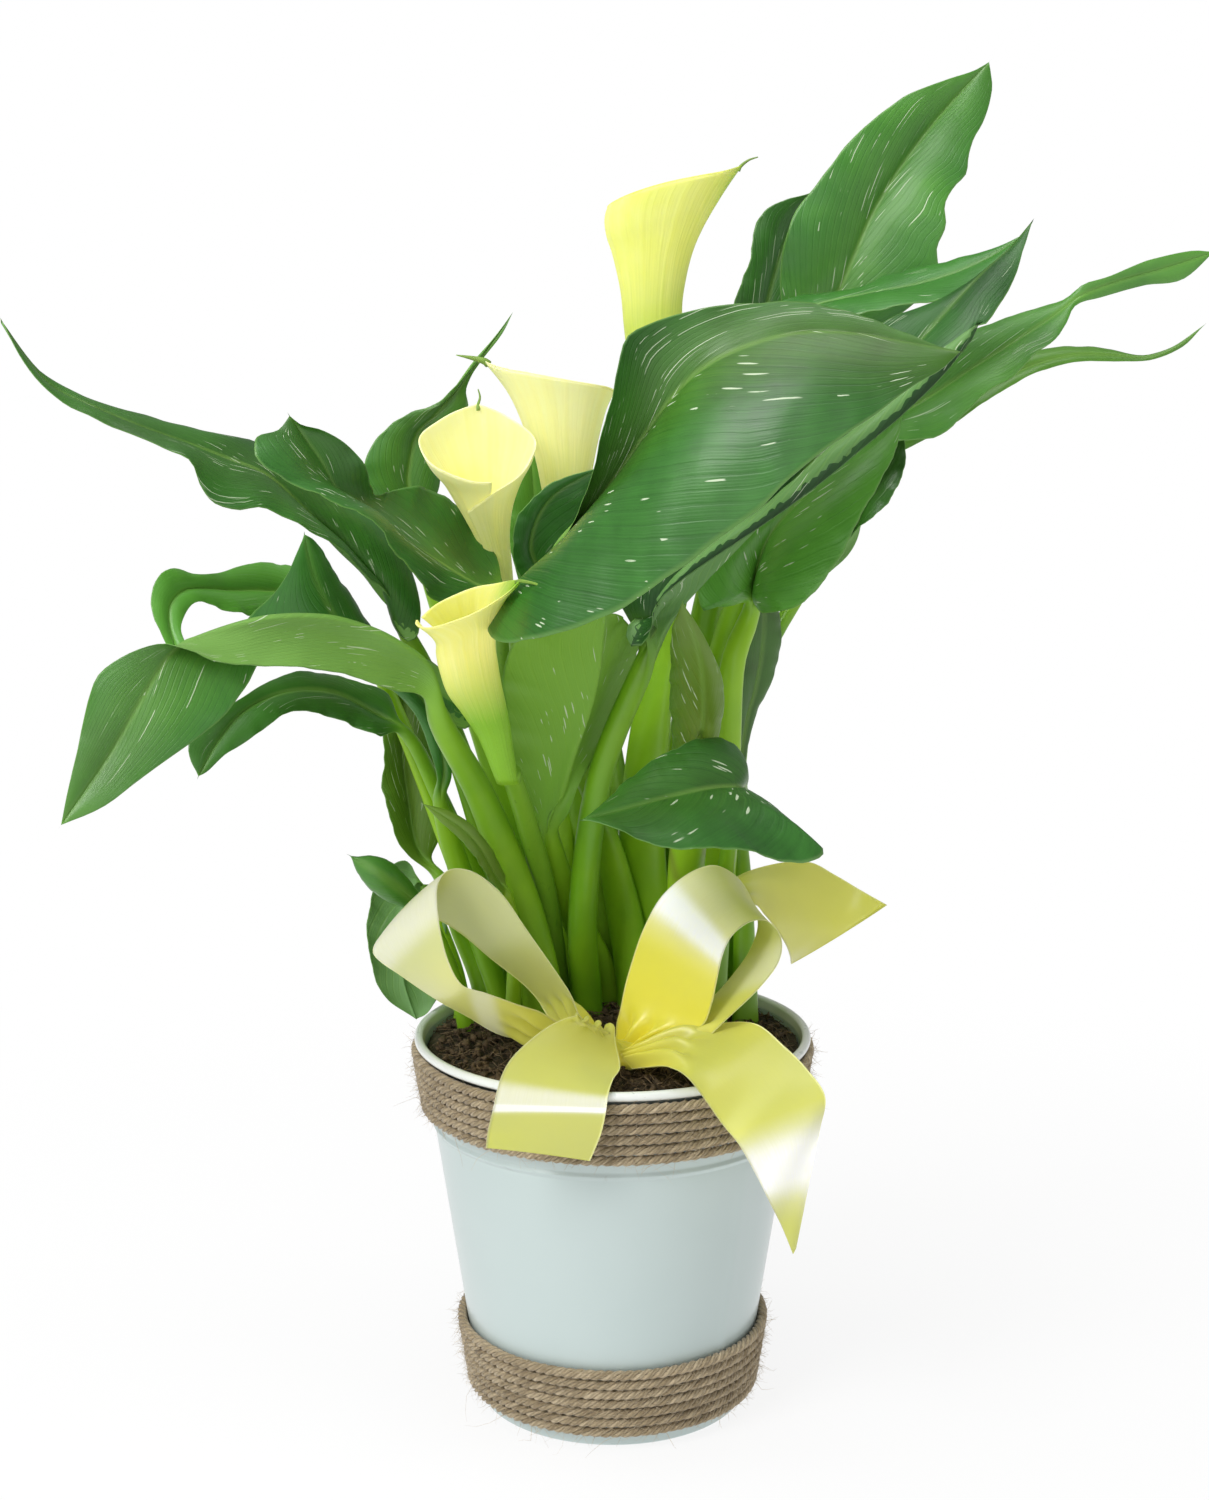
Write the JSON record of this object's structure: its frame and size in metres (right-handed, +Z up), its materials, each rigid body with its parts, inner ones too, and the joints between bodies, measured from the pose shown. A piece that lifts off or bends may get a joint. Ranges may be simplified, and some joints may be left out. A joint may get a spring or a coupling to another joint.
{
  "type": "potted calla lily",
  "caption": "Potted calla lily with yellow spathes and spotted green leaves in a pale enamelled metal pot bound with jute twine, with a satin ribbon bow on the soil.",
  "frame": {"origin": "centre of the pot's flat foot, on the surface it stands on", "axes": "+Z up along the pot's axis, -Y towards the side with the bow, which the picture shows, +X to the viewer's right"},
  "size_m": [0.4313, 0.238, 0.4916],
  "materials": {
    "enamel": "gloss",
    "soil": "matte",
    "jute": "matte",
    "leaf": "satin",
    "stalk": "satin",
    "spathe": "satin",
    "spadix": "matte",
    "satin": "satin"
  },
  "bodies": {
    "root": {"pot": "enamel", "soil": "soil", "twine_top": "jute", "twine_foot": "jute", "leaf_arch_left": "leaf", "leaf_long_left": "leaf", "leaf_upper_left": "leaf", "leaf_twist_left": "leaf", "leaf_peak_left": "leaf", "leaf_low_left": "leaf", "leaf_behind_left": "leaf", "leaf_rolled_left": "leaf", "leaf_hanging_left": "leaf", "leaf_narrow_front": "leaf", "leaf_back_left": "leaf", "leaf_bright_centre": "leaf", "leaf_pale_centre": "leaf", "leaf_dark_centre": "leaf", "leaf_top_right": "leaf", "leaf_top_right_rear": "leaf", "leaf_long_right": "leaf", "leaf_upper_right": "leaf", "leaf_front_right": "leaf", "leaf_far_right": "leaf", "leaf_far_right_low": "leaf", "leaf_broad_right": "leaf", "leaf_rear_right": "leaf", "leaf_upright_right": "leaf", "leaf_folded_centre": "leaf", "leaf_small_front": "leaf", "flower_top_stalk": "stalk", "flower_top_spathe": "spathe", "flower_top_spadix": "spadix", "flower_face_stalk": "stalk", "flower_face_spathe": "spathe", "flower_face_spadix": "spadix", "flower_side_stalk": "stalk", "flower_side_spathe": "spathe", "flower_side_spadix": "spadix", "flower_front_stalk": "stalk", "flower_front_spathe": "spathe", "flower_front_spadix": "spadix", "ribbon_loop_left": "satin", "ribbon_loop_right": "satin", "ribbon_tail_front_left": "satin", "ribbon_tail_front_right": "satin", "ribbon_tail_back": "satin", "ribbon_knot": "satin"}
  },
  "joints": []
}
